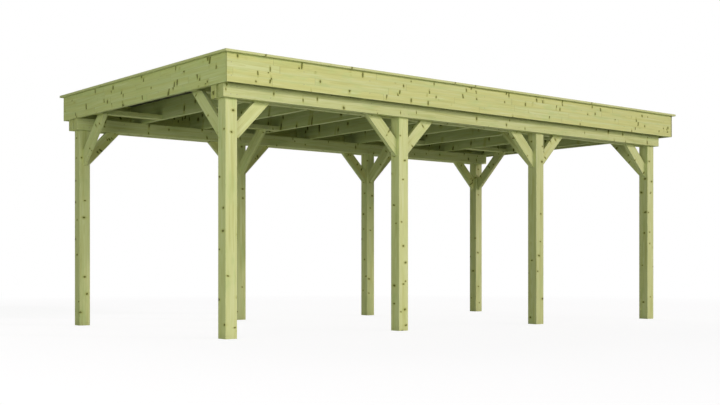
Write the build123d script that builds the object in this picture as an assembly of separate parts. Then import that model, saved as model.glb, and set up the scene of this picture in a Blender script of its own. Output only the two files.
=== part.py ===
from build123d import *
import math
import os

# Timber carport with a flat roof, in millimetres, Z up.
# X runs along the carport from the near end to the drained end, Y runs across it.
# The origin is on the ground, under the middle of the roof edge.

os.makedirs("parts", exist_ok=True)

# posts
post_count = 4            # in each of the two rows
post_size = 115.0         # square section
post_pitch = 1920.0       # centre to centre along a row
row_width = 2825.0        # outside to outside across both rows
headroom = 1990.0         # ground to the underside of the purlins
edge_ease = 3.0           # planed-off arris on the long timbers

# double purlins, let into both sides of each post head
purlin_thickness = 75.0
purlin_height = 120.0
tongue_thickness = 40.0   # post wood left standing between the two boards
notch_clearance = 1.0     # cut made past the top of the post head

# knee braces, as thick as the gap between the purlin boards that they rise into
brace_width = 110.0
brace_angle = 45.0
brace_reach = 478.0       # from the face of the post to the toe of the brace's head

# rafters and the noggings that the cross braces push against
rafter_count = 9
rafter_thickness = 45.0
rafter_height = 195.0
nogging_width = 95.0
nogging_height = 45.0

# roof edge
fascia_thickness = 20.0
fascia_height = 240.0
fascia_drop = 10.0        # below the top of the purlins
side_overhang = 122.0     # outer face of the fascia beyond the posts, long sides
near_overhang = 66.0      # same, at the near end
far_overhang = 180.0      # same, at the drained end
cap_thickness = 20.0
cap_width = 120.0
cap_nosing = 30.0         # cap beyond the fascia
rim_width = 45.0

# roof sheets and gutter
sheet_count = 3
sheet_thickness = 3.0
sheet_height = 30.0       # depth of the profile
rib_pitch = 196.0
rib_top = 50.0
rib_foot = 90.0
sheet_gap = 1.0           # between neighbouring sheets and at the rim
eave_overhang = 45.0      # sheet past the last rafter, over the gutter
gutter_width = 104.0
gutter_depth = 80.0
gutter_wall = 3.0
gutter_drop = 5.0         # top of the gutter below the sheets
gutter_end_gap = 2.0
outlet_diameter = 75.0
outlet_length = 45.0
outlet_inset = 250.0      # centre of the outlet from the end of the gutter

# worked-out sizes
post_row_length = post_pitch * (post_count - 1) + post_size
roof_length = near_overhang + post_row_length + far_overhang
roof_width = row_width + 2 * side_overhang
notch_depth = (post_size - tongue_thickness) / 2
purlin_top = headroom + purlin_height
purlin_overhang = near_overhang - fascia_thickness
rafter_top = purlin_top + rafter_height
fascia_bottom = purlin_top - fascia_drop
fascia_top = fascia_bottom + fascia_height
rim_height = fascia_top - rafter_top
brace_slope = math.radians(brace_angle)
foot_cut = brace_width / math.cos(brace_slope)
head_cut = brace_width / math.sin(brace_slope)

# places, from the roof's middle
near_x = -roof_length / 2                     # outer face of the near fascia
far_x = roof_length / 2                       # outer face of the far fascia
first_post_x = near_x + near_overhang + post_size / 2
post_xs = [first_post_x + i * post_pitch for i in range(post_count)]
posts_mid_x = (post_xs[0] + post_xs[-1]) / 2
row_y = row_width / 2 - post_size / 2         # centre line of each row
inner_x = near_x + fascia_thickness
inner_far_x = far_x - fascia_thickness
inner_y = roof_width / 2 - fascia_thickness   # inner face of the side fascias
rafter_run = post_row_length + 2 * purlin_overhang - rafter_thickness
rafter_pitch = rafter_run / (rafter_count - 1)
rafter_xs = [posts_mid_x - rafter_run / 2 + i * rafter_pitch for i in range(rafter_count)]
purlin_offset = tongue_thickness / 2 + purlin_thickness / 2
purlin_length = post_row_length + 2 * purlin_overhang


def block(x0, x1, y0, y1, z0, z1):
    """A straight timber between two corners."""
    size = Box(x1 - x0, y1 - y0, z1 - z0)
    return Pos((x0 + x1) / 2, (y0 + y1) / 2, (z0 + z1) / 2) * size


def eased(timber, axis):
    """The same timber with its long arrises planed off."""
    return chamfer(timber.edges().filter_by(axis), edge_ease)


def post(x, y):
    """A square post whose head is notched on both sides for the purlins."""
    half = post_size / 2
    body = eased(block(x - half, x + half, y - half, y + half, 0, purlin_top), Axis.Z)
    for side in (-1, 1):
        seat_in = y + side * tongue_thickness / 2
        seat_out = y + side * (half + edge_ease)
        low_y, high_y = sorted((seat_in, seat_out))
        over = purlin_top + notch_clearance
        body -= block(x - post_size, x + post_size, low_y, high_y, headroom, over)
    return body


def purlin(y):
    """One board of a double purlin."""
    half = purlin_thickness / 2
    x0 = posts_mid_x - purlin_length / 2
    x1 = posts_mid_x + purlin_length / 2
    return eased(block(x0, x1, y - half, y + half, headroom, purlin_top), Axis.X)


def brace():
    """A knee brace in the XZ plane: foot on a post face at x = 0, head level with the purlins."""
    foot_z = purlin_top - brace_reach * math.tan(brace_slope)
    outline = Polyline(
        (0, foot_z),
        (brace_reach, purlin_top),
        (brace_reach - head_cut, purlin_top),
        (0, foot_z + foot_cut),
        close=True,
    )
    face = make_face(Plane.XZ * outline)
    return extrude(face, amount=tongue_thickness / 2, both=True)


def braces_at(index, row):
    """The knee braces of one post: one each way between the purlin boards, one across the bay."""
    x = post_xs[index]
    y = row * row_y
    half = post_size / 2
    pieces = [Pos(x, y - row * half, 0) * Rot(0, 0, -90 * row) * brace()]
    if index < post_count - 1:
        pieces.append(Pos(x + half, y, 0) * brace())
    if index > 0:
        pieces.append(Pos(x - half, y, 0) * Rot(0, 0, 180) * brace())
    return Compound(children=pieces)


def rafter(x):
    """A rafter on edge across both purlins, between the side fascias."""
    half = rafter_thickness / 2
    return block(x - half, x + half, -inner_y, inner_y, purlin_top, rafter_top)


def noggings():
    """Flat noggings between the rafters on either side of each post."""
    head_middle = row_y - post_size / 2 - brace_reach + head_cut / 2
    pieces = []
    for x in post_xs:
        before = max(r for r in rafter_xs if r <= x)
        after = min(r for r in rafter_xs if r > x)
        for row in (-1, 1):
            y = row * head_middle
            pieces.append(
                block(
                    before + rafter_thickness / 2,
                    after - rafter_thickness / 2,
                    y - nogging_width / 2,
                    y + nogging_width / 2,
                    purlin_top,
                    purlin_top + nogging_height,
                )
            )
    return Compound(children=pieces)


def fascia_boards():
    """Four boards on edge round the roof, each running over the end of the next."""
    outer_y = roof_width / 2
    z0 = fascia_bottom
    z1 = fascia_top
    return {
        "fascia_front": block(near_x, inner_far_x, -outer_y, -inner_y, z0, z1),
        "fascia_far_end": block(inner_far_x, far_x, -outer_y, inner_y, z0, z1),
        "fascia_back": block(inner_x, far_x, inner_y, outer_y, z0, z1),
        "fascia_near_end": block(near_x, inner_x, -inner_y, outer_y, z0, z1),
    }


def cap_boards():
    """Four flat cap boards, mitred at the corners."""
    x1 = roof_length / 2 + cap_nosing
    y1 = roof_width / 2 + cap_nosing
    x0 = x1 - cap_width
    y0 = y1 - cap_width
    corners = {
        "cap_front": ((-x1, -y1), (x1, -y1), (x0, -y0), (-x0, -y0)),
        "cap_far_end": ((x1, -y1), (x1, y1), (x0, y0), (x0, -y0)),
        "cap_back": ((x1, y1), (-x1, y1), (-x0, y0), (x0, y0)),
        "cap_near_end": ((-x1, y1), (-x1, -y1), (-x0, -y0), (-x0, y0)),
    }
    boards = {}
    for name, points in corners.items():
        face = make_face(Polyline(*points, close=True))
        boards[name] = Pos(0, 0, fascia_top) * extrude(face, cap_thickness)
    return boards


def rim_battens():
    """Battens on the rafter ends, behind the fascia, that carry the cap."""
    rim_in = inner_y - rim_width
    first = rafter_xs[0]
    last = rafter_xs[-1] + rafter_thickness / 2
    z0 = rafter_top
    z1 = rafter_top + rim_height
    return {
        "rim_batten_front": block(inner_x, last, -inner_y, -rim_in, z0, z1),
        "rim_batten_back": block(inner_x, last, rim_in, inner_y, z0, z1),
        "rim_batten_near_end": block(
            inner_x, first + rafter_thickness / 2, -rim_in, rim_in, z0, z1
        ),
    }


def roof_sheet(index):
    """A trapezoidal roof sheet that lies along the roof on the rafters."""
    clear_width = 2 * (inner_y - rim_width) - 2 * sheet_gap
    width = (clear_width - (sheet_count - 1) * sheet_gap) / sheet_count
    y0 = -clear_width / 2 + index * (width + sheet_gap)
    ribs = int(width // rib_pitch)
    margin = (width - ribs * rib_pitch) / 2
    z = rafter_top
    top = z + sheet_height
    lower = [(y0, z)]
    for i in range(ribs):
        middle = y0 + margin + (i + 0.5) * rib_pitch
        lower.append((middle - rib_foot / 2, z))
        lower.append((middle - rib_top / 2, top - sheet_thickness))
        lower.append((middle + rib_top / 2, top - sheet_thickness))
        lower.append((middle + rib_foot / 2, z))
    lower.append((y0 + width, z))
    upper = [(y, h + sheet_thickness) for y, h in reversed(lower)]
    face = make_face(Plane.YZ * Polyline(*lower, *upper, close=True))
    x0 = rafter_xs[0] + rafter_thickness / 2 + sheet_gap
    x1 = rafter_xs[-1] + rafter_thickness / 2 + eave_overhang
    return Pos(x0, 0, 0) * extrude(face, x1 - x0)


def gutter():
    """An open box gutter between the last rafter and the far fascia, with its outlet."""
    x0 = rafter_xs[-1] + rafter_thickness / 2
    x1 = x0 + gutter_width
    y1 = inner_y - gutter_end_gap
    z1 = rafter_top - gutter_drop
    z0 = z1 - gutter_depth
    wall = gutter_wall
    trough = block(x0, x1, -y1, y1, z0, z1)
    trough -= block(x0 + wall, x1 - wall, -y1 + wall, y1 - wall, z0 + wall, z1 + 1)
    outlet_x = (x0 + x1) / 2
    outlet_y = y1 - outlet_inset
    radius = outlet_diameter / 2
    spigot = Pos(outlet_x, outlet_y, z0 - outlet_length / 2) * Cylinder(radius, outlet_length)
    bore = Pos(outlet_x, outlet_y, z0 - outlet_length / 2) * Cylinder(
        radius - wall, outlet_length + 4 * wall
    )
    return trough + spigot - bore


def build():
    nodes = {}
    for row, side in ((-1, "front"), (1, "back")):
        for i, x in enumerate(post_xs):
            nodes[f"post_{side}_{i + 1}"] = post(x, row * row_y)
            nodes[f"braces_{side}_{i + 1}"] = braces_at(i, row)
        nodes[f"purlin_{side}_outer"] = purlin(row * (row_y + purlin_offset))
        nodes[f"purlin_{side}_inner"] = purlin(row * (row_y - purlin_offset))
    for i, x in enumerate(rafter_xs):
        nodes[f"rafter_{i + 1}"] = rafter(x)
    nodes["noggings"] = noggings()
    nodes.update(fascia_boards())
    nodes.update(cap_boards())
    nodes.update(rim_battens())
    for i in range(sheet_count):
        nodes[f"roof_sheet_{i + 1}"] = roof_sheet(i)
    nodes["gutter"] = gutter()
    return nodes


for name, shape in build().items():
    export_step(shape, f"parts/{name}.step")
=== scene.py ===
import math
import random

import bmesh
import bpy
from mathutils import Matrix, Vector


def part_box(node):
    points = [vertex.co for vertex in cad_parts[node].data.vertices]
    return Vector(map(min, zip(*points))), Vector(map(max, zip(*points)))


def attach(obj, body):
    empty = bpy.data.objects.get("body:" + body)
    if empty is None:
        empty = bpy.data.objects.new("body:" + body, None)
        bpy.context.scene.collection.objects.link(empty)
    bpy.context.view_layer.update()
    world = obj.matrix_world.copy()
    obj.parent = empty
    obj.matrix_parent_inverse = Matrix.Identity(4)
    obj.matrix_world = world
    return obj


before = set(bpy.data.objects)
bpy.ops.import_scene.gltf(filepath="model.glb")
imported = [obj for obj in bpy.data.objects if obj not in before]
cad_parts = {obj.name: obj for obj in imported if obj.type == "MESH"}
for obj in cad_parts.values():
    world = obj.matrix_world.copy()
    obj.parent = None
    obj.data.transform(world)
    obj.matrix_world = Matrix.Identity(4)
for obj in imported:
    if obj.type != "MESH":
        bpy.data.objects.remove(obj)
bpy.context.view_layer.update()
random.seed(41)

cameraLook = {
    "place": (-7.907, -8.965, 0.591),
    "heading": 51.74,                    # degrees from the length of the carport
    "lens": 54.56,
    "shift": (0.0483, 0.0903),
}
lightLook = {
    "sky": 0.16,                         # even light from all round
    "skyColour": (0.95, 1.0, 0.95),
    "floorBounce": (0.59, 0.63, 0.535),  # share of light that the floor sends back up
    "floorWhite": 0.86,                  # glow of the floor where it is seen
    "floorShadow": 0.22,                 # how far shadows darken it there
    "floorFade": (7.0, 13.0),            # metres from the middle where it turns plain white
    "floorReach": 120.0,                 # metres from the middle to its edges
    "softColour": (0.98, 1.0, 0.96),
    "frontColour": (1.0, 0.94, 0.95),
    "keyColour": (1.0, 0.84, 0.98),
    "lamps": {                           # power, softness, bearing and height in degrees, and colour
        "keyLamp": (1.20, 3.0, -53.1, 18.0, "keyColour"),
        "frontLamp": (1.07, 22.0, -89.0, 9.0, "frontColour"),
        "backLamp": (1.30, 50.0, 70.0, 25.0, "frontColour"),
    },
    "panels": {                          # power, width, place, the point it faces, and colour
        "cornerPanel": (485.0, 5.0, (-13.0, -7.4, 3.0), (-3.0, -1.4, 1.6), "softColour"),
    },
}


# puts a camera, a lamp or a mesh in the scene
def addObject(name, data):
    thing = bpy.data.objects.new(name, data)
    bpy.context.scene.collection.objects.link(thing)
    return thing


def addCamera(look):
    data = bpy.data.cameras.new("viewCamera")
    data.sensor_width = 36.0
    data.lens = look["lens"]
    data.shift_x, data.shift_y = look["shift"]
    data.dof.use_dof = False
    camera = addObject("viewCamera", data)
    camera.location = look["place"]
    camera.rotation_euler = (math.radians(90), 0, math.radians(look["heading"] - 90))
    bpy.context.scene.camera = camera


def addLamp(name, power, softness, bearing, height, colour):
    data = bpy.data.lights.new(name, "SUN")
    data.energy = power
    data.angle = math.radians(softness)
    data.color = colour
    lamp = addObject(name, data)
    turn, rise = math.radians(bearing), math.radians(height)
    toward = Vector((math.cos(turn) * math.cos(rise), math.sin(turn) * math.cos(rise), math.sin(rise)))
    lamp.rotation_euler = toward.to_track_quat("Z", "Y").to_euler()


# a soft square panel close by, so the near corner of the carport is lit more than the far one
def addPanel(name, power, width, place, target, colour):
    data = bpy.data.lights.new(name, "AREA")
    data.energy = power
    data.size = width
    data.color = colour
    panel = addObject(name, data)
    panel.location = place
    panel.rotation_euler = (Vector(place) - Vector(target)).to_track_quat("Z", "Y").to_euler()
    panel.visible_camera = False
    panel.visible_glossy = False


# plugs a socket in, or sets the value when source is a plain number or colour
def wire(tree, source, target):
    if isinstance(source, bpy.types.NodeSocket):
        tree.links.new(source, target)
    else:
        target.default_value = source


def calc(tree, operation, first, second=None, third=None):
    unit = tree.nodes.new("ShaderNodeMath")
    unit.operation = operation
    for slot, value in zip(unit.inputs, (first, second, third)):
        if value is not None:
            wire(tree, value, slot)
    return unit.outputs[0]


# the same for vectors; a length or a dot product comes out as a number
def vectorCalc(tree, operation, first, second=None):
    unit = tree.nodes.new("ShaderNodeVectorMath")
    unit.operation = operation
    wire(tree, first, unit.inputs[0])
    if second is not None:
        wire(tree, second, unit.inputs[1])
    return unit.outputs["Value" if operation in ("LENGTH", "DOT_PRODUCT") else "Vector"]


# how far a point is from a line, by its offsets in two directions
def distanceFrom(tree, first, second):
    squares = calc(tree, "MULTIPLY_ADD", first, first, calc(tree, "MULTIPLY", second, second))
    return calc(tree, "SQRT", squares)


# 0 at low and 1 at high; low may be the bigger of the two
def ramp(tree, value, low, high):
    unit = tree.nodes.new("ShaderNodeMapRange")
    unit.interpolation_type = "SMOOTHSTEP"
    wire(tree, value, unit.inputs["Value"])
    wire(tree, low, unit.inputs["From Min"])
    wire(tree, high, unit.inputs["From Max"])
    return unit.outputs["Result"]


# first where share is 0, second where it is 1
def stir(tree, share, first, second, kind="MIX"):
    unit = tree.nodes.new("ShaderNodeMix")
    unit.data_type = "RGBA"
    unit.blend_type = kind
    unit.clamp_factor = True
    wire(tree, share, unit.inputs["Factor"])
    wire(tree, first, unit.inputs["A"])
    wire(tree, second, unit.inputs["B"])
    return unit.outputs["Result"]


def joinAxes(tree, along, side, depth):
    unit = tree.nodes.new("ShaderNodeCombineXYZ")
    for slot, value in zip(unit.inputs, (along, side, depth)):
        wire(tree, value, slot)
    return unit.outputs[0]


def splitAxes(tree, vector):
    unit = tree.nodes.new("ShaderNodeSeparateXYZ")
    wire(tree, vector, unit.inputs[0])
    return unit.outputs


# soft noise; seed moves to another part of it
def cloud(tree, vector, scale, detail=3.0, rough=0.5, seed=0.0):
    unit = tree.nodes.new("ShaderNodeTexNoise")
    unit.noise_dimensions = "4D"
    wire(tree, vector, unit.inputs["Vector"])
    wire(tree, seed, unit.inputs["W"])
    unit.inputs["Scale"].default_value = scale
    unit.inputs["Detail"].default_value = detail
    unit.inputs["Roughness"].default_value = rough
    return unit.outputs["Fac"]


# three even random numbers for each place
def dice(tree, vector):
    unit = tree.nodes.new("ShaderNodeTexWhiteNoise")
    unit.noise_dimensions = "3D"
    wire(tree, vector, unit.inputs["Vector"])
    return splitAxes(tree, unit.outputs["Color"])


# a group with its sockets; inputs are name: (type, start), outputs are name: type
def startGroup(name, inputs, outputs):
    tree = bpy.data.node_groups.new(name, "ShaderNodeTree")
    for label, (kind, start) in inputs.items():
        socket = tree.interface.new_socket(label, in_out="INPUT", socket_type=kind)
        socket.default_value = start
    for label, kind in outputs.items():
        tree.interface.new_socket(label, in_out="OUTPUT", socket_type=kind)
    entry = tree.nodes.new("NodeGroupInput")
    leave = tree.nodes.new("NodeGroupOutput")
    return tree, entry.outputs, leave.inputs


# drops a group in a tree; the values go by the names of its inputs
def useGroup(tree, group, values):
    unit = tree.nodes.new("ShaderNodeGroup")
    unit.node_tree = group
    for label, value in values.items():
        wire(tree, value, unit.inputs[label])
    return unit.outputs


number = "NodeSocketFloat"
arrow = "NodeSocketVector"
tint = "NodeSocketColor"

boardSockets = {label: (number, 0.0) for label in ("Along", "Side", "Depth", "Seed")}
knotSockets = {"Whorl Gap": (number, 0.3), "Knot Size": (number, 0.008), "Spike": (number, 0.5),
               "Missing": (number, 0.3)}

knotShape = {
    "branches": 5,                 # in each whorl
    "ragged": 0.005,               # metres that the outline of a knot wanders
    "strayTurn": 1.1,              # radians that a branch strays round the heart
    "spread": 0.50,                # share of the gap between whorls that its branches lie in
    "lean": -0.22,                 # slope of the branches as they leave the heart
    "stretch": 0.5,                # how much shorter a spike knot is along the board
    "smallest": 0.55,              # share of the knot size that the smallest has
    "growth": 0.75,                # what the biggest adds to that
    "outline": (1.10, 0.85),       # in radii, where a knot starts and where it is full
    "bark": (0.45, 0.85),          # the same for the dark ring round it, from the inside
    "halo": 3.4,                   # radii that the darker wood round it reaches
}


# branches run out from the heart in whorls, so a face cuts them round and an edge cuts them long
def makeKnots(look):
    tree, get, put = startGroup(
        "pineKnots", {**boardSockets, **knotSockets}, {"Knot": number, "Rim": number, "Halo": number})
    gap = get["Whorl Gap"]
    cell = calc(tree, "MULTIPLY_ADD", get["Seed"], 37.3, calc(tree, "DIVIDE", get["Along"], gap))
    whorl = calc(tree, "FLOOR", cell)
    part = calc(tree, "FRACT", cell)
    ragged = cloud(tree, joinAxes(tree, get["Along"], get["Side"], get["Depth"]), 160.0, 1.0)
    wobble = calc(tree, "MULTIPLY_ADD", ragged, look["ragged"], -look["ragged"] / 2)
    knot, rim, halo = 0.0, 0.0, 0.0
    for branch in range(look["branches"]):
        chance = dice(tree, joinAxes(tree, whorl, branch * 3.7 + 0.5, get["Seed"]))
        angle = calc(tree, "MULTIPLY_ADD", chance[0], look["strayTurn"], branch * math.tau / look["branches"])
        cosine, sine = calc(tree, "COSINE", angle), calc(tree, "SINE", angle)
        outward = calc(tree, "MULTIPLY_ADD", get["Side"], cosine, calc(tree, "MULTIPLY", get["Depth"], sine))
        aside = calc(tree, "SUBTRACT", calc(tree, "MULTIPLY", get["Depth"], cosine),
                     calc(tree, "MULTIPLY", get["Side"], sine))
        centre = calc(tree, "MULTIPLY_ADD", chance[1], look["spread"], (1 - look["spread"]) / 2)
        onward = calc(tree, "MULTIPLY", calc(tree, "SUBTRACT", part, centre), gap)
        lean = calc(tree, "MULTIPLY_ADD", outward, look["lean"], onward)
        # a spike knot is drawn out across the board, by a different amount on each branch
        spike = calc(tree, "FRACT", calc(tree, "MULTIPLY", chance[0], 7.0))
        spike = calc(tree, "MULTIPLY", get["Spike"], spike)
        aside = calc(tree, "MULTIPLY", aside, calc(tree, "SUBTRACT", 1.0, spike))
        lean = calc(tree, "MULTIPLY", lean, calc(tree, "MULTIPLY_ADD", spike, look["stretch"], 1.0))
        away = calc(tree, "ADD", distanceFrom(tree, lean, aside), wobble)
        # some branches were shed young, and the rest differ in size
        present = calc(tree, "MULTIPLY", calc(tree, "GREATER_THAN", chance[2], get["Missing"]),
                       calc(tree, "GREATER_THAN", outward, 0.0))
        growth = calc(tree, "POWER", chance[2], 2.0)
        growth = calc(tree, "MULTIPLY_ADD", growth, look["growth"], look["smallest"])
        size = calc(tree, "MULTIPLY", get["Knot Size"], growth)
        inside = ramp(tree, away, *[calc(tree, "MULTIPLY", size, radii) for radii in look["outline"]])
        bark = ramp(tree, away, *[calc(tree, "MULTIPLY", size, radii) for radii in look["bark"]])
        nearby = ramp(tree, away, calc(tree, "MULTIPLY", size, look["halo"]), size)
        inside = calc(tree, "MULTIPLY", inside, present)
        knot = calc(tree, "MAXIMUM", knot, inside)
        rim = calc(tree, "MAXIMUM", rim, calc(tree, "MULTIPLY", inside, bark))
        halo = calc(tree, "MAXIMUM", halo, calc(tree, "MULTIPLY", nearby, present))
    wire(tree, knot, put["Knot"])
    wire(tree, rim, put["Rim"])
    wire(tree, halo, put["Halo"])
    return tree


grainMasks = ("Rings", "Fibre", "Band", "Patch", "Heartwood", "Knot", "Rim", "Halo")
grainShape = {
    "sway": 0.04,                  # metres that the heart line wanders along a board
    "waver": 0.016,                # metres that the rings waver
    "knotBend": 0.007,             # metres that the rings bend out round a knot
    "lateStart": (0.45, 0.90),     # shares of a ring's width between which its dark line comes in
    "lateEnd": (1.00, 0.94),       # and goes out again
    "heartwood": (0.044, 0.030),   # radius where the heartwood starts and where it is full
    "ringNoise": (0.12, 11.0),     # below 1 draws the noise out along the grain; then its scale
    "fibreNoise": (0.035, 150.0),
    "bandNoise": (0.05, 36.0),
    "patchNoise": (0.30, 13.0),
    "relief": (0.35, 0.5, -0.8),   # how high dark lines, fibres and the bark round knots stand
}


# growth rings round a heart line that runs inside the board or behind it
def makeGrain(knots, look):
    tree, get, put = startGroup(
        "pineGrain",
        {**boardSockets, "Heart Side": (number, 0.0), "Heart Depth": (number, 0.06),
         "Heart Spread": (number, 0.02), "Ring Width": (number, 0.0036), **knotSockets},
        {label: number for label in (*grainMasks, "Height")},
    )
    along, seed = get["Along"], get["Seed"]
    chance = dice(tree, joinAxes(tree, calc(tree, "MULTIPLY", seed, 91.7), 3.1, 7.7))
    sway = cloud(tree, joinAxes(tree, along, 0.0, 0.0), 0.9, 1.0, 0.4, seed)
    side = calc(tree, "SUBTRACT", get["Side"], get["Heart Side"])
    side = calc(tree, "MULTIPLY_ADD", calc(tree, "SUBTRACT", chance[0], 0.5), get["Heart Spread"], side)
    side = calc(tree, "ADD", side, calc(tree, "MULTIPLY_ADD", sway, look["sway"], -look["sway"] / 2))
    depth = calc(tree, "SUBTRACT", get["Depth"], get["Heart Depth"])
    depth = calc(tree, "MULTIPLY_ADD", calc(tree, "SUBTRACT", chance[1], 0.5), get["Heart Spread"], depth)
    branch = useGroup(tree, knots, {"Along": along, "Side": side, "Depth": depth, "Seed": seed,
                                    **{label: get[label] for label in knotSockets}})

    def streaks(kind, detail, rough, ownSeed):      # noise drawn out along the grain
        share, scale = look[kind]
        place = joinAxes(tree, calc(tree, "MULTIPLY", along, share), side, depth)
        return cloud(tree, place, scale, detail, rough, ownSeed)

    wave = calc(tree, "MULTIPLY_ADD", streaks("ringNoise", 2.0, 0.5, seed), look["waver"], -look["waver"] / 2)
    bent = calc(tree, "ADD", distanceFrom(tree, side, depth), wave)
    bent = calc(tree, "MULTIPLY_ADD", branch["Halo"], look["knotBend"], bent)
    turn = calc(tree, "FRACT", calc(tree, "DIVIDE", bent, get["Ring Width"]))
    late = calc(tree, "MULTIPLY", ramp(tree, turn, *look["lateStart"]), ramp(tree, turn, *look["lateEnd"]))
    fibre = streaks("fibreNoise", 3.0, 0.6, seed)
    wire(tree, late, put["Rings"])
    wire(tree, fibre, put["Fibre"])
    wire(tree, streaks("bandNoise", 2.0, 0.55, calc(tree, "ADD", seed, 3.0)), put["Band"])
    wire(tree, streaks("patchNoise", 3.0, 0.55, calc(tree, "ADD", seed, 5.0)), put["Patch"])
    wire(tree, ramp(tree, bent, *look["heartwood"]), put["Heartwood"])
    for label in ("Knot", "Rim", "Halo"):
        wire(tree, branch[label], put[label])
    lateHigh, fibreHigh, barkHigh = look["relief"]
    height = calc(tree, "MULTIPLY_ADD", late, lateHigh, calc(tree, "MULTIPLY", fibre, fibreHigh))
    wire(tree, calc(tree, "MULTIPLY_ADD", branch["Rim"], barkHigh, height), put["Height"])
    return tree


staveShape = {
    "shortest": 0.6,               # share of the stave length that the shortest stave has
    "butt": (0.0022, 0.0008),      # metres from an end joint where its line starts and is full
    "glue": (0.0012, 0.0003),      # the same for the long joints
    "glueShare": 0.55,             # how dark the long joints are next to the end joints
}


# a board glued up from short staves: gives each stave its own seed and middle line
def makeStaves(look):
    tree, get, put = startGroup(
        "gluedStaves",
        {"Along": (number, 0.0), "Side": (number, 0.0), "Seed": (number, 0.0),
         "Stave Width": (number, 0.06), "Stave Length": (number, 0.8)},
        {"Stave Side": number, "Stave Seed": number, "Joint": number},
    )
    width, length = get["Stave Width"], get["Stave Length"]
    row = calc(tree, "FLOOR", calc(tree, "DIVIDE", get["Side"], width))
    local = calc(tree, "SUBTRACT", get["Side"], calc(tree, "MULTIPLY", calc(tree, "ADD", row, 0.5), width))
    chance = dice(tree, joinAxes(tree, row, get["Seed"], 0.7))
    rowLength = calc(tree, "MULTIPLY", length, calc(tree, "ADD", chance[0], look["shortest"]))
    run = calc(tree, "MULTIPLY_ADD", chance[1], 9.0, calc(tree, "DIVIDE", get["Along"], rowLength))
    stave = calc(tree, "FLOOR", run)
    own = dice(tree, joinAxes(tree, row, calc(tree, "ADD", stave, 0.5), get["Seed"]))
    endGap = calc(tree, "ABSOLUTE", calc(tree, "SUBTRACT", calc(tree, "FRACT", run), 0.5))
    endGap = calc(tree, "MULTIPLY", calc(tree, "SUBTRACT", 0.5, endGap), length)
    sideGap = calc(tree, "MULTIPLY", calc(tree, "ABSOLUTE", local), -1.0)
    sideGap = calc(tree, "MULTIPLY_ADD", width, 0.5, sideGap)
    butt = ramp(tree, endGap, *look["butt"])
    glue = calc(tree, "MULTIPLY", ramp(tree, sideGap, *look["glue"]), look["glueShare"])
    wire(tree, local, put["Stave Side"])
    wire(tree, own[0], put["Stave Seed"])
    wire(tree, calc(tree, "MAXIMUM", butt, glue), put["Joint"])
    return tree


# where a surface turns over an arris, and the rounded normal that goes with it
def makeEdge():
    tree, get, put = startGroup(
        "arrisHighlightAndWear", {"Width": (number, 0.004), "Breakup": (number, 0.35)}, {"Edge": number, "Normal": arrow})
    soft = tree.nodes.new("ShaderNodeBevel")
    soft.samples = 4
    wire(tree, get["Width"], soft.inputs["Radius"])
    # less than 1 where the rounded normal has turned away from the flat one
    flat = tree.nodes.new("ShaderNodeNewGeometry").outputs["Normal"]
    same = vectorCalc(tree, "DOT_PRODUCT", soft.outputs[0], flat)
    # the mask comes and goes along an arris: on the timber it lays a painted highlight, on the steel wear
    rub = cloud(tree, tree.nodes.new("ShaderNodeTexCoord").outputs["Object"], 14.0, 3.0, 0.6)
    rub = ramp(tree, rub, calc(tree, "SUBTRACT", 0.62, get["Breakup"]), 0.62)
    wire(tree, calc(tree, "MULTIPLY", ramp(tree, same, 0.998, 0.93), rub), put["Edge"])
    wire(tree, soft.outputs[0], put["Normal"])
    return tree


# splashed dirt near the ground, up to a line that wanders, and a faint film of dust on top faces
def makeGrime(wander=0.09):
    tree, get, put = startGroup(
        "groundGrime", {"Splash Height": (number, 0.07)}, {"Splash": number, "Dust": number})
    place = tree.nodes.new("ShaderNodeTexCoord").outputs["Object"]
    mottle = cloud(tree, place, 22.0, 4.0, 0.65)
    level = calc(tree, "ADD", splitAxes(tree, place)[2], wander / 2)
    level = calc(tree, "MULTIPLY_ADD", mottle, -wander, level)
    up = splitAxes(tree, tree.nodes.new("ShaderNodeNewGeometry").outputs["Normal"])[2]
    wire(tree, ramp(tree, level, get["Splash Height"], 0.0), put["Splash"])
    wire(tree, calc(tree, "MULTIPLY", ramp(tree, up, 0.6, 0.95), ramp(tree, mottle, 0.35, 0.7)), put["Dust"])
    return tree


# metres from the middle of a board, worked out from its own box
def makeBoardPlace():
    tree, get, put = startGroup("boardPlace", {"Size": (arrow, (1.0, 1.0, 1.0))}, {"Place": arrow})
    share = tree.nodes.new("ShaderNodeTexCoord").outputs["Generated"]
    share = vectorCalc(tree, "SUBTRACT", share, (0.5, 0.5, 0.5))
    wire(tree, vectorCalc(tree, "MULTIPLY", share, get["Size"]), put["Place"])
    return tree


# screws sunk in two lines along a board, as small dark holes: painted shade in the countersinks
def makeSunkScrews():
    tree, get, put = startGroup(
        "sunkScrews",
        {"Along": (number, 0.0), "Side": (number, 0.0), "Pitch": (number, 0.6), "Line Gap": (number, 0.07),
         "Hole Size": (number, 0.0045)},
        {"Hole": number},
    )
    step = calc(tree, "FRACT", calc(tree, "ADD", calc(tree, "DIVIDE", get["Along"], get["Pitch"]), 0.5))
    onward = calc(tree, "MULTIPLY", calc(tree, "SUBTRACT", step, 0.5), get["Pitch"])
    aside = calc(tree, "MULTIPLY_ADD", get["Line Gap"], -0.5, calc(tree, "ABSOLUTE", get["Side"]))
    away = distanceFrom(tree, onward, aside)
    wire(tree, ramp(tree, away, get["Hole Size"], calc(tree, "MULTIPLY", get["Hole Size"], 0.7)), put["Hole"])
    return tree


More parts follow.
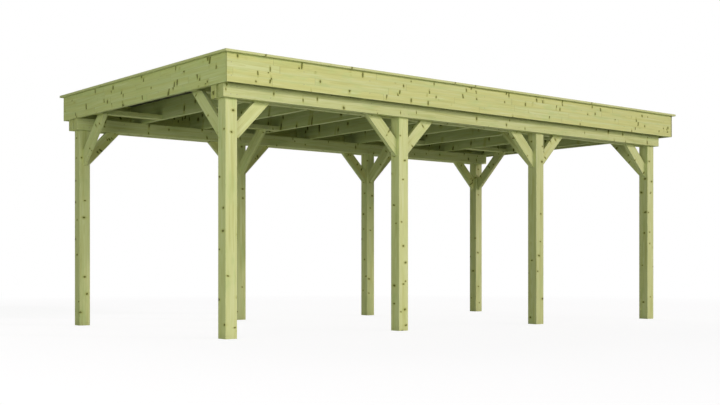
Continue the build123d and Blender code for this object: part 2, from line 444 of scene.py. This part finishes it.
pineColours = {
    "sap": (0.590, 0.640, 0.286, 1),        # fresh pressure-treated sapwood
    "pale": (0.640, 0.690, 0.370, 1),       # bands with wide early growth
    "late": (0.455, 0.478, 0.155, 1),       # darker lines of late growth
    "heartwood": (0.600, 0.592, 0.210, 1),  # patches where more salt went in; mixed over a whole board it is also the rafters' painted shade
    "green": (0.490, 0.585, 0.240, 1),      # patches where more salt went in
    "halo": (0.392, 0.412, 0.100, 1),
    "knot": (0.108, 0.122, 0.010, 1),
    "rim": (0.030, 0.037, 0.002, 1),
    "endGrain": (0.425, 0.465, 0.175, 1),
    # the edge colour is a painted highlight along the arrises
    "edge": (0.710, 0.755, 0.415, 1),
    "joint": (0.270, 0.280, 0.098, 1),
    "dirt": (0.215, 0.210, 0.105, 1),
}

# how far each mark covers the colour under it, 0 to 1
pineShares = {
    "heartwood": 0.60,
    "patch": 0.80,
    "paleBand": 0.60,
    "lateBand": 0.60,
    "end": 0.70,
    "rings": 0.38,
    "fibre": 0.30,
    "halo": 0.62,
    "knot": 0.88,
    "rim": 0.75,
    "joint": 0.60,
    "edge": 0.70,
    "splash": 0.12,
    "dust": 0.10,
}
pineTone = (0.935, 0.13)                    # the darkest board, and how much brighter the palest is


def makePineColour(look, shares):
    inputs = (*grainMasks, "End", "Edge", "Joint", "Splash", "Dust", "Tone", "Salt Tint And Shade")
    tree, get, put = startGroup("pineColour", {label: (number, 0.0) for label in inputs}, {"Colour": tint})

    # the marks over a colour, one on top of the other
    def cover(colour, *layers):
        for mark, mask, shade in layers:
            colour = stir(tree, calc(tree, "MULTIPLY", mask, shares[mark]), colour, look[shade])
        return colour

    # noise lies mostly between 0.3 and 0.7, so each ramp takes the spots on one side of 0.5
    colour = cover(look["sap"], ("heartwood", get["Heartwood"], "heartwood"))
    # greener by the salt share: a salt tint, and painted shade on the rafters
    colour = stir(tree, get["Salt Tint And Shade"], colour, look["green"])
    colour = cover(
        colour,
        ("patch", ramp(tree, get["Patch"], 0.50, 0.30), "green"),
        ("paleBand", ramp(tree, get["Band"], 0.50, 0.72), "pale"),
        ("lateBand", ramp(tree, get["Band"], 0.48, 0.28), "late"),
        ("end", get["End"], "endGrain"),
        ("rings", get["Rings"], "late"),
        ("fibre", ramp(tree, get["Fibre"], 0.48, 0.75), "late"),
        ("halo", calc(tree, "POWER", get["Halo"], 2.0), "halo"),
        ("knot", get["Knot"], "knot"),
        ("rim", get["Rim"], "rim"),
    )
    darkest, brighter = pineTone
    tone = calc(tree, "MULTIPLY_ADD", get["Tone"], brighter, darkest)
    colour = stir(tree, 1.0, colour, joinAxes(tree, tone, tone, tone), "MULTIPLY")
    colour = cover(
        colour,
        ("joint", get["Joint"], "joint"),
        # the edge mark is a painted highlight along the arrises
        ("edge", get["Edge"], "edge"),
        ("splash", get["Splash"], "dirt"),
        ("dust", get["Dust"], "dirt"),
    )
    wire(tree, colour, put["Colour"])
    return tree


knotGroup = makeKnots(knotShape)
grainGroup = makeGrain(knotGroup, grainShape)
staveGroup = makeStaves(staveShape)
edgeGroup = makeEdge()
grimeGroup = makeGrime()
boardPlaceGroup = makeBoardPlace()
sunkScrewGroup = makeSunkScrews()
pineColourGroup = makePineColour(pineColours, pineShares)
print("wood node groups ready")

# what every timber starts from; each piece below changes its own
timberLook = {
    "heart": (0.0, 0.04),          # side and depth of the heart line, metres from the middle
    "heartSpread": 0.03,           # how far it moves from board to board
    "whorlGap": 0.30,              # metres between rings of branches
    "knotSize": 0.0078,            # radius of a big knot
    "spike": 0.6,                  # how far knots are drawn out across the grain, 0 to 1
    "missing": 0.3,                # share of branches with no knot left
    "rough": 0.62,
    "roughSpread": 0.18,           # how much fibres add to that and knots take off
    "gloss": 0.12,
    "bump": 0.10,
    "bumpDepth": 0.002,
    "arris": 0.005,                # width of the eased edges
    "staveWidth": 0.0,             # 0 is a solid timber
    "staveLength": 0.8,
    "staveTone": 0.3,              # how much staves differ, next to boards
    "saltTintAndShade": 0.0,                   # how much greener than usual, 0 to 1: a salt tint, and on the rafters painted shade
    "screwPitch": 0.0,             # 0 is no sunk screws
    "sawnEnd": 0.0,                # how dark the sawn ends are
}


# a new material, with its nodes and its main shader
def startMaterial(name):
    material = bpy.data.materials.new(name)
    material.use_nodes = True
    return material, material.node_tree, material.node_tree.nodes["Principled BSDF"]


# fine relief on top of the rounded edges
def addRelief(tree, shader, height, edge, look):
    relief = tree.nodes.new("ShaderNodeBump")
    relief.inputs["Strength"].default_value = look["bump"]
    relief.inputs["Distance"].default_value = look["bumpDepth"]
    wire(tree, height, relief.inputs["Height"])
    wire(tree, edge["Normal"], relief.inputs["Normal"])
    wire(tree, relief.outputs["Normal"], shader.inputs["Normal"])


# placeOf gives along, side, depth, seed and how much a face is end grain
def pineMaterial(name, placeOf, look):
    look = {**timberLook, **look}
    material, tree, shader = startMaterial(name)
    along, side, depth, seed, end = placeOf(tree)
    edge = useGroup(tree, edgeGroup, {"Width": look["arris"]})
    grime = useGroup(tree, grimeGroup, {})
    tone = dice(tree, joinAxes(tree, calc(tree, "MULTIPLY", seed, 13.1), 0.5, 0.5))[0]
    joint, hole = 0.0, 0.0
    if look["screwPitch"]:
        holes = useGroup(tree, sunkScrewGroup, {"Along": along, "Side": side, "Pitch": look["screwPitch"]})
        hole = holes["Hole"]
    if look["staveWidth"]:
        staves = useGroup(tree, staveGroup, {"Along": along, "Side": side, "Seed": seed,
                                             "Stave Width": look["staveWidth"],
                                             "Stave Length": look["staveLength"]})
        side, seed, joint = staves["Stave Side"], staves["Stave Seed"], staves["Joint"]
        other = calc(tree, "SUBTRACT", seed, tone)
        tone = calc(tree, "MULTIPLY_ADD", other, look["staveTone"], tone)
    wood = useGroup(tree, grainGroup, {"Along": along, "Side": side, "Depth": depth, "Seed": seed,
                                       "Heart Side": look["heart"][0], "Heart Depth": look["heart"][1],
                                       "Heart Spread": look["heartSpread"], "Whorl Gap": look["whorlGap"],
                                       "Knot Size": look["knotSize"], "Spike": look["spike"],
                                       "Missing": look["missing"]})
    if look["sawnEnd"]:
        joint = calc(tree, "MAXIMUM", joint, calc(tree, "MULTIPLY", end, look["sawnEnd"]))
    masks = {label: wood[label] for label in grainMasks}
    masks.update({"End": end, "Edge": edge["Edge"], "Joint": joint, "Tone": tone, "Salt Tint And Shade": look["saltTintAndShade"],
                  "Splash": grime["Splash"], "Dust": grime["Dust"]})
    if look["screwPitch"]:               # a sunk screw hole is painted as dark as a knot, as painted shade in the countersink
        for label in ("Rim", "Knot"):
            masks[label] = calc(tree, "MAXIMUM", wood[label], hole)
    wire(tree, useGroup(tree, pineColourGroup, masks)["Colour"], shader.inputs["Base Color"])
    rough = calc(tree, "MULTIPLY_ADD", wood["Fibre"], look["roughSpread"], look["rough"])
    rough = calc(tree, "MULTIPLY_ADD", wood["Knot"], -look["roughSpread"], rough)
    wire(tree, rough, shader.inputs["Roughness"])
    shader.inputs["Specular IOR Level"].default_value = look["gloss"]
    height = calc(tree, "SUBTRACT", wood["Height"], calc(tree, "ADD", joint, hole))
    addRelief(tree, shader, height, edge, look)
    return material


def middleOf(node):
    low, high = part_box(node)
    return (low + high) / 2


# 1 on faces that look along an axis, and 0 on those that don't
def facing(tree, axis, low=0.75, high=0.9):
    normal = splitAxes(tree, tree.nodes.new("ShaderNodeTexCoord").outputs["Normal"])
    return ramp(tree, calc(tree, "ABSOLUTE", normal[axis]), low, high)


# places on a straight board; lie names its length, width and thickness axes
def boardPlace(node, lie):
    def place(tree):
        low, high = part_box(node)
        spot = splitAxes(tree, useGroup(tree, boardPlaceGroup, {"Size": tuple(high - low)})["Place"])
        length, width, thickness = ["XYZ".index(letter) for letter in lie]
        seed = tree.nodes.new("ShaderNodeObjectInfo").outputs["Random"]
        return spot[length], spot[width], spot[thickness], seed, facing(tree, length)
    return place


# gives CAD nodes their finish through their own material slots
def dress(material, *names):
    for name in names:
        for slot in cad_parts[name].material_slots:
            slot.material = material


postNames = [f"post_{side}_{n}" for side in ("front", "back") for n in range(1, 5)]
braceNames = [f"braces_{side}_{n}" for side in ("front", "back") for n in range(1, 5)]
purlinNames = [f"purlin_{side}_{board}" for side in ("front", "back") for board in ("outer", "inner")]
rafterNames = [f"rafter_{n}" for n in range(1, 10)]
sheetNames = [f"roof_sheet_{n}" for n in range(1, 4)]

postLook = {"heart": (0.004, 0.006), "heartSpread": 0.06, "whorlGap": 0.20, "knotSize": 0.0085,
            "spike": 0.35, "missing": 0.46}
dress(pineMaterial("postPine", boardPlace("post_front_1", "ZXY"), postLook), *postNames)

purlinLook = {"heart": (0.0, 0.02), "heartSpread": 0.05, "whorlGap": 0.24, "knotSize": 0.0088}
dress(pineMaterial("purlinPine", boardPlace("purlin_front_outer", "XZY"), purlinLook), *purlinNames)

# the rafters' greener, darker wood is painted shade for the dim inside of the roof
rafterLook = {"saltTintAndShade": 0.7, "heart": (0.0, 0.03), "heartSpread": 0.05, "whorlGap": 0.26, "knotSize": 0.015,
              "spike": 0.75, "missing": 0.4}
dress(pineMaterial("rafterPine", boardPlace("rafter_1", "YZX"), rafterLook), *rafterNames)

fasciaLook = {"heart": (0.0, 0.014), "heartSpread": 0.034, "whorlGap": 0.50, "knotSize": 0.0086,
              "spike": 0.62, "missing": 0.52, "saltTintAndShade": 0.12, "staveWidth": 0.06, "staveLength": 0.9}
dress(pineMaterial("fasciaLongPine", boardPlace("fascia_front", "XZY"), fasciaLook),
      "fascia_front", "fascia_back")
fasciaEndLook = {**fasciaLook, "saltTintAndShade": 0.45, "knotSize": 0.0112, "missing": 0.36, "sawnEnd": 1.6}
dress(pineMaterial("fasciaEndPine", boardPlace("fascia_near_end", "YZX"), fasciaEndLook),
      "fascia_near_end", "fascia_far_end")

capLook = {"heart": (0.0, -0.05), "heartSpread": 0.04, "screwPitch": 0.6}
dress(pineMaterial("capLongPine", boardPlace("cap_front", "XYZ"), capLook), "cap_front", "cap_back")
dress(pineMaterial("capEndPine", boardPlace("cap_near_end", "YXZ"), capLook), "cap_near_end", "cap_far_end")

battenLook = {"heart": (0.0, 0.05)}
dress(pineMaterial("battenLongPine", boardPlace("rim_batten_front", "XYZ"), battenLook),
      "rim_batten_front", "rim_batten_back")
dress(pineMaterial("battenEndPine", boardPlace("rim_batten_near_end", "YXZ"), battenLook),
      "rim_batten_near_end")

braceLook = {
    "heart": (0.0, 0.03),
    "whorlGap": 0.24,
    "middle": 1.16,                # middle line, metres from the foot of the post at right angles to it
    "crossHalf": 0.05,             # the brace across the bay lies this near the middle of its post
}


# the braces lean at 45 degrees three ways round each post
def bracePlace(tree):
    first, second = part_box("post_front_1"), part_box("post_front_2")
    pitch = second[0].x - first[0].x
    postX = (first[0].x + first[1].x) / 2
    rowY = -(first[0].y + first[1].y) / 2
    spot = splitAxes(tree, tree.nodes.new("ShaderNodeTexCoord").outputs["Object"])
    step = calc(tree, "DIVIDE", calc(tree, "SUBTRACT", spot[0], postX), pitch)
    offset = calc(tree, "MULTIPLY", calc(tree, "SUBTRACT", step, calc(tree, "ROUND", step)), pitch)
    away = calc(tree, "ABSOLUTE", offset)
    inward = calc(tree, "SUBTRACT", rowY, calc(tree, "ABSOLUTE", spot[1]))
    across = calc(tree, "LESS_THAN", away, braceLook["crossHalf"])
    run = calc(tree, "MULTIPLY_ADD", across, calc(tree, "SUBTRACT", inward, away), away)
    thick = calc(tree, "MULTIPLY_ADD", across, calc(tree, "SUBTRACT", offset, inward), inward)
    slope = math.sqrt(0.5)
    along = calc(tree, "MULTIPLY", calc(tree, "ADD", run, spot[2]), slope)
    side = calc(tree, "MULTIPLY_ADD", calc(tree, "SUBTRACT", spot[2], run), slope, -braceLook["middle"])
    # each brace is its own piece of wood
    seed = calc(tree, "MULTIPLY_ADD", across, 0.37, tree.nodes.new("ShaderNodeObjectInfo").outputs["Random"])
    seed = calc(tree, "MULTIPLY_ADD", calc(tree, "SIGN", offset), 0.19, seed)
    return along, side, thick, seed, facing(tree, 2, 0.95, 0.99)


dress(pineMaterial("bracePine", bracePlace, braceLook), *braceNames)

noggingLook = {"heart": (0.0, 0.03), "halfWidth": 0.0475}


# the noggings lie flat between the rafters, and each is its own piece of wood
def noggingPlace(tree):
    low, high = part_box("noggings")
    firstRafter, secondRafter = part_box("rafter_1"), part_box("rafter_2")
    rafterPitch = secondRafter[0].x - firstRafter[0].x
    lineY = high.y - noggingLook["halfWidth"]
    spot = splitAxes(tree, tree.nodes.new("ShaderNodeTexCoord").outputs["Object"])
    side = calc(tree, "SUBTRACT", calc(tree, "ABSOLUTE", spot[1]), lineY)
    depth = calc(tree, "SUBTRACT", spot[2], (low.z + high.z) / 2)
    bay = calc(tree, "DIVIDE", calc(tree, "SUBTRACT", spot[0], firstRafter[0].x), rafterPitch)
    bay = calc(tree, "FLOOR", bay)
    seed = calc(tree, "MULTIPLY_ADD", calc(tree, "SIGN", spot[1]), 0.31, calc(tree, "MULTIPLY", bay, 0.137))
    return spot[0], side, depth, seed, facing(tree, 0)


dress(pineMaterial("noggingPine", noggingPlace, noggingLook), "noggings")
print("timber finishes on")


# coated steel: a fine orange-peel skin, and dull runs where water has gone down the fall
def makeCoat():
    tree, get, put = startGroup(
        "steelCoat", {"Peel Scale": (number, 240.0)}, {"Mottle": number, "Run": number, "Height": number})
    place = tree.nodes.new("ShaderNodeTexCoord").outputs["Object"]
    axes = splitAxes(tree, place)
    run = cloud(tree, joinAxes(tree, calc(tree, "MULTIPLY", axes[0], 0.08), axes[1], axes[2]), 16.0, 4.0, 0.6)
    peel = tree.nodes.new("ShaderNodeTexNoise")     # its own node, because its scale is a socket
    wire(tree, place, peel.inputs["Vector"])
    wire(tree, get["Peel Scale"], peel.inputs["Scale"])
    peel.inputs["Detail"].default_value = 2.0
    wire(tree, cloud(tree, place, 7.0, 4.0, 0.6), put["Mottle"])
    wire(tree, ramp(tree, run, 0.5, 0.72), put["Run"])
    wire(tree, peel.outputs["Fac"], put["Height"])
    return tree


coatGroup = makeCoat()

# what every steel part starts from; each one below changes its own
steelLook = {
    "dirt": pineColours["dirt"],
    "metallic": 0.0,
    "arris": 0.001,                # width of the eased edges
    "bumpDepth": 0.001,
    "mottleShare": 0.35,           # how far cloudy patches take the worn colour, 0 to 1
    "runShare": 0.25,              # how dirty the runs are
    "edgeShare": 0.45,             # how worn the edges are
    "dustShare": 0.22,             # how dusty the top faces are
    "mottleRough": 0.12,           # how much patches and dust roughen the coat
    "dustRough": 0.20,
}
# the roof's dark olive is partly painted shade: dark coated steel tinted to the shaded underside's colour
roofLook = {"base": (0.078, 0.088, 0.042, 1), "worn": (0.128, 0.136, 0.094, 1), "gloss": 0.15,
            "rough": 0.62, "peel": 240.0, "bump": 0.03}
gutterLook = {"base": (0.073, 0.084, 0.084, 1), "worn": (0.160, 0.170, 0.170, 1), "gloss": 0.4,
              "rough": 0.50, "peel": 260.0, "bump": 0.04}
screwLook = {"base": (0.34, 0.35, 0.17, 1), "worn": (0.46, 0.46, 0.32, 1), "gloss": 0.3,
             "metallic": 0.2, "rough": 0.55, "peel": 900.0, "bump": 0.08}


def steelMaterial(name, look):
    look = {**steelLook, **look}
    material, tree, shader = startMaterial(name)
    coat = useGroup(tree, coatGroup, {"Peel Scale": look["peel"]})
    edge = useGroup(tree, edgeGroup, {"Width": look["arris"]})
    grime = useGroup(tree, grimeGroup, {})
    layers = ((coat["Mottle"], "mottleShare", "worn"), (coat["Run"], "runShare", "dirt"),
              (edge["Edge"], "edgeShare", "worn"), (grime["Dust"], "dustShare", "dirt"))
    colour = look["base"]
    for mask, share, shade in layers:
        colour = stir(tree, calc(tree, "MULTIPLY", mask, look[share]), colour, look[shade])
    wire(tree, colour, shader.inputs["Base Color"])
    shader.inputs["Metallic"].default_value = look["metallic"]
    shader.inputs["Specular IOR Level"].default_value = look["gloss"]
    rough = calc(tree, "MULTIPLY_ADD", coat["Mottle"], look["mottleRough"], look["rough"])
    rough = calc(tree, "MULTIPLY_ADD", grime["Dust"], look["dustRough"], rough)
    wire(tree, rough, shader.inputs["Roughness"])
    addRelief(tree, shader, coat["Height"], edge, look)
    return material


dress(steelMaterial("roofCoat", roofLook), *sheetNames)
dress(steelMaterial("gutterCoat", gutterLook), "gutter")
screwSteel = steelMaterial("screwSteel", screwLook)
print("steel finishes on")

# rings from the foot of a head to its middle: radius and height in metres, and outline
screwHeads = {
    "flat": [(0.0042, -0.0012, "round"), (0.0042, 0.0002, "round"), (0.0038, 0.0006, "round"),
             (0.0020, 0.0006, "star"), (0.0018, 0.0001, "star")],
    "hexagon": [(0.0080, -0.0010, "round"), (0.0080, 0.0012, "round"), (0.0066, 0.0020, "round"),
                (0.0047, 0.0021, "hexagon"), (0.0047, 0.0058, "hexagon"), (0.0041, 0.0064, "round")],
}


# how far a head's outline reaches at one angle, as a share of its radius
def outlineAt(kind, angle):
    if kind == "star":
        return 0.86 + 0.14 * math.cos(6 * angle)
    if kind == "hexagon":
        return math.cos(math.pi / 6) / math.cos((angle % (math.pi / 3)) - math.pi / 6)
    return 1.0


def addHead(shape, kind, place, outward, count=24):
    outward = Vector(outward).normalized()
    across = outward.orthogonal().normalized()
    upward = outward.cross(across)
    turn = random.uniform(0, math.tau)
    rings = []
    for radius, height, outline in screwHeads[kind]:
        ring = []
        for step in range(count):
            angle = step * math.tau / count
            reach = radius * outlineAt(outline, angle)
            spin = angle + turn
            point = Vector(place) + outward * height + across * (reach * math.cos(spin))
            ring.append(shape.verts.new(point + upward * (reach * math.sin(spin))))
        rings.append(ring)
    for lower, upper in zip(rings, rings[1:]):
        for step in range(count):
            after = (step + 1) % count
            shape.faces.new((lower[step], lower[after], upper[after], upper[step]))
    shape.faces.new(list(reversed(rings[0])))
    shape.faces.new(rings[-1])


def addMesh(name, shape, material):
    mesh = bpy.data.meshes.new(name)
    shape.to_mesh(mesh)
    shape.free()
    mesh.materials.append(material)
    return addObject(name, mesh)


# a finished steel piece of the carport, fixed where it stands
def addSteelPiece(name, shape):
    piece = addMesh(name, shape, screwSteel)
    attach(piece, "root")


# all the heads of one kind of fixing, joined in one mesh
def addFixings(name, kind, spots):
    shape = bmesh.new()
    for place, outward in spots:
        addHead(shape, kind, place, outward)
    addSteelPiece(name, shape)
    print(name, len(spots), "heads")


fixingLook = {
    "fasciaLift": 0.055,             # screws above and below the middle of a rafter's end
    "fasciaEndGap": 0.42,            # between pairs of screws in the near fascia
    "farEndLift": 0.075,             # above and below the middle of the far fascia's end
    "purlinSpread": (0.030, 0.032),  # along and up from the middle of a post head
    "braceSpread": (0.030, 0.030),   # the same from the middle of a brace head
    "braceWidth": 0.110,
    "braceFoot": (0.040, 0.085),     # up the brace's lower edge from its foot
    "rafterLift": 0.035,             # above the lower edge of a rafter
    "sheetScrewGap": 0.196,          # one in each pan of the roof sheets
    "sheetThickness": 0.003,
}
postLow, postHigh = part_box("post_front_1")
postHalf = (postHigh.x - postLow.x) / 2
postRows = ((-1, "front"), (1, "back"))    # which way each row of posts looks


def fasciaSpots(look):
    spots = []
    front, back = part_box("fascia_front")[0].y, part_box("fascia_back")[1].y
    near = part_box("fascia_near_end")[0].x
    level = middleOf("rafter_1").z
    for lift in (-look["fasciaLift"], look["fasciaLift"]):
        for name in rafterNames:
            x = middleOf(name).x
            spots += [((x, front, level + lift), (0, -1, 0)), ((x, back, level + lift), (0, 1, 0))]
        spots += [((near, step * look["fasciaEndGap"], level + lift), (-1, 0, 0)) for step in range(-3, 4)]
    farX = middleOf("fascia_far_end").x
    for lift in (-look["farEndLift"], 0.0, look["farEndLift"]):
        spots += [((farX, front, level + lift), (0, -1, 0)), ((farX, back, level + lift), (0, 1, 0))]
    return spots


# through both boards of each double purlin, into the post heads and the brace heads
def purlinSpots(look):
    spots = []
    low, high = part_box("purlin_front_outer")
    level = (low.z + high.z) / 2
    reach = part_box("braces_front_1")[1].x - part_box("post_front_1")[1].x
    headMiddle = reach - (high.z - level) - look["braceWidth"] / math.sqrt(2)
    postAside, postAbove = look["purlinSpread"]
    braceAside, braceAbove = look["braceSpread"]
    for sign, side in postRows:
        outer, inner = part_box(f"purlin_{side}_outer"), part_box(f"purlin_{side}_inner")
        outerY = (outer[0] if sign < 0 else outer[1]).y
        innerY = (inner[1] if sign < 0 else inner[0]).y
        for n in range(1, 5):
            x = middleOf(f"post_{side}_{n}").x
            for faceY, outward in ((outerY, sign), (innerY, -sign)):
                for dx in (-postAside, postAside):
                    for dz in (-postAbove, postAbove):
                        spots.append(((x + dx, faceY, level + dz), (0, outward, 0)))
                for way in (-1, 1):
                    if (n, way) in ((1, -1), (4, 1)):
                        continue         # no brace runs past the end posts
                    for shift in (-1, 1):
                        dx = way * (postHalf + headMiddle + shift * braceAside)
                        spots.append(((x + dx, faceY, level + shift * braceAbove), (0, outward, 0)))
    return spots


# up through the lower edge of each brace into its post
def braceSpots(look):
    spots = []
    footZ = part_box("braces_front_1")[0].z
    for sign, side in postRows:
        for n in range(1, 5):
            centre = middleOf(f"post_{side}_{n}")
            ways = [Vector((0, -sign, 0))]
            if n < 4:
                ways.append(Vector((1, 0, 0)))
            if n > 1:
                ways.append(Vector((-1, 0, 0)))
            for way in ways:
                for run in look["braceFoot"]:
                    place = Vector((centre.x, centre.y, footZ + run)) + way * (postHalf + run)
                    spots.append((place, way + Vector((0, 0, -1))))
    return spots


# low on the rafters' sides, down into the purlins
def rafterSpots(look):
    spots = []
    for n, name in enumerate(rafterNames, 1):
        low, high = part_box(name)
        for purlin in purlinNames:
            y = middleOf(purlin).y
            x, outward = (low.x, -1) if "outer" in purlin and n > 1 else (high.x, 1)
            spots.append(((x, y, low.z + look["rafterLift"]), (outward, 0, 0)))
    return spots


# down through the pans of the roof sheets into every rafter but the first
def sheetSpots(look):
    spots = []
    for name in sheetNames:
        low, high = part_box(name)
        centre = (low.y + high.y) / 2
        level = low.z + look["sheetThickness"]
        for rafter in rafterNames[1:]:
            x = middleOf(rafter).x
            for step in range(-2, 3):
                spots.append(((x, centre + step * look["sheetScrewGap"], level), (0, 0, 1)))
    return spots


addFixings("fascia_screws", "flat", fasciaSpots(fixingLook))
addFixings("purlin_screws", "flat", purlinSpots(fixingLook))
addFixings("brace_screws", "flat", braceSpots(fixingLook))
addFixings("rafter_screws", "flat", rafterSpots(fixingLook))
addFixings("roof_screws", "hexagon", sheetSpots(fixingLook))

strapLook = {
    "count": 7,
    "width": 0.025,
    "thickness": 0.002,
    "lip": 0.012,                  # how far a strap turns down inside the wall
    "wall": 0.003,                 # thickness of the gutter's wall
    "inset": 0.12,                 # first and last strap from the ends of the gutter
}


# flat steel straps over the gutter, turned down inside its outer wall
def addGutterStraps(look):
    low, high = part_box("gutter")
    thick, lip = look["thickness"], look["lip"]
    lipX = high.x - look["wall"]
    profile = [(low.x, 0.0), (low.x, thick), (high.x, thick), (high.x, 0.0),
               (lipX, 0.0), (lipX, -lip), (lipX - thick, -lip), (lipX - thick, 0.0)]
    shape = bmesh.new()
    span = high.y - low.y - 2 * look["inset"]
    for step in range(look["count"]):
        middle = low.y + look["inset"] + span * step / (look["count"] - 1)
        ends = []
        for side in (-1, 1):
            y = middle + side * look["width"] / 2
            ends.append([shape.verts.new((x, y, high.z + rise)) for x, rise in profile])
        shape.faces.new(ends[0])
        shape.faces.new(list(reversed(ends[1])))
        for index in range(len(profile)):
            after = (index + 1) % len(profile)
            shape.faces.new((ends[0][after], ends[0][index], ends[1][index], ends[1][after]))
    bmesh.ops.recalc_face_normals(shape, faces=shape.faces)
    addSteelPiece("gutter_straps", shape)
    print("gutter_straps", look["count"])


addGutterStraps(strapLook)


# what is seen straight or in gloss or glass, but not by light that bounces on from matt wood
def seenRays(tree):
    path = tree.nodes.new("ShaderNodeLightPath").outputs
    gloss = calc(tree, "MAXIMUM", path["Is Glossy Ray"], path["Is Transmission Ray"])
    gloss = calc(tree, "MULTIPLY", gloss, calc(tree, "LESS_THAN", path["Diffuse Depth"], 0.5))
    return calc(tree, "MAXIMUM", path["Is Camera Ray"], gloss)


def glow(tree, kind, colour, strength):
    unit = tree.nodes.new(kind)
    unit.inputs["Color"].default_value = (*colour, 1)
    unit.inputs["Strength"].default_value = strength
    return unit.outputs[0]


def blend(tree, share, first, second):
    unit = tree.nodes.new("ShaderNodeMixShader")
    wire(tree, share, unit.inputs[0])
    tree.links.new(first, unit.inputs[1])
    tree.links.new(second, unit.inputs[2])
    return unit.outputs[0]


def matt(tree, colour):
    unit = tree.nodes.new("ShaderNodeBsdfDiffuse")
    unit.inputs["Color"].default_value = (*colour, 1)
    return unit.outputs[0]


def addFloor(look):
    shape = bmesh.new()
    bmesh.ops.create_grid(shape, x_segments=8, y_segments=8, size=look["floorReach"])
    material, tree, shader = startMaterial("floorPale")
    tree.nodes.remove(shader)
    shadowed = tree.nodes.new("ShaderNodeAddShader")
    tree.links.new(glow(tree, "ShaderNodeEmission", (1, 1, 1), look["floorWhite"]), shadowed.inputs[0])
    tree.links.new(matt(tree, (look["floorShadow"],) * 3), shadowed.inputs[1])
    distance = vectorCalc(tree, "LENGTH", tree.nodes.new("ShaderNodeTexCoord").outputs["Object"])
    far = ramp(tree, distance, *look["floorFade"])
    seen = blend(tree, far, shadowed.outputs[0], glow(tree, "ShaderNodeEmission", (1, 1, 1), 1.0))
    whole = blend(tree, seenRays(tree), matt(tree, look["floorBounce"]), seen)
    tree.links.new(whole, tree.nodes["Material Output"].inputs["Surface"])
    addMesh("floor", shape, material)


def addSky(look):
    world = bpy.data.worlds.new("studio")
    bpy.context.scene.world = world
    world.use_nodes = True
    tree = world.node_tree
    for node in list(tree.nodes):
        tree.nodes.remove(node)
    out = tree.nodes.new("ShaderNodeOutputWorld")
    even = glow(tree, "ShaderNodeBackground", look["skyColour"], look["sky"])
    white = glow(tree, "ShaderNodeBackground", (1, 1, 1), 1.0)
    tree.links.new(blend(tree, seenRays(tree), even, white), out.inputs["Surface"])


bpy.context.scene.view_settings.view_transform = "Standard"
addCamera(cameraLook)
addFloor(lightLook)
addSky(lightLook)
for lampName, (*lampPlace, lampColour) in lightLook["lamps"].items():
    addLamp(lampName, *lampPlace, lightLook[lampColour])
for panelName, (*panelPlace, panelColour) in lightLook["panels"].items():
    addPanel(panelName, *panelPlace, lightLook[panelColour])
print("camera, floor and light set")
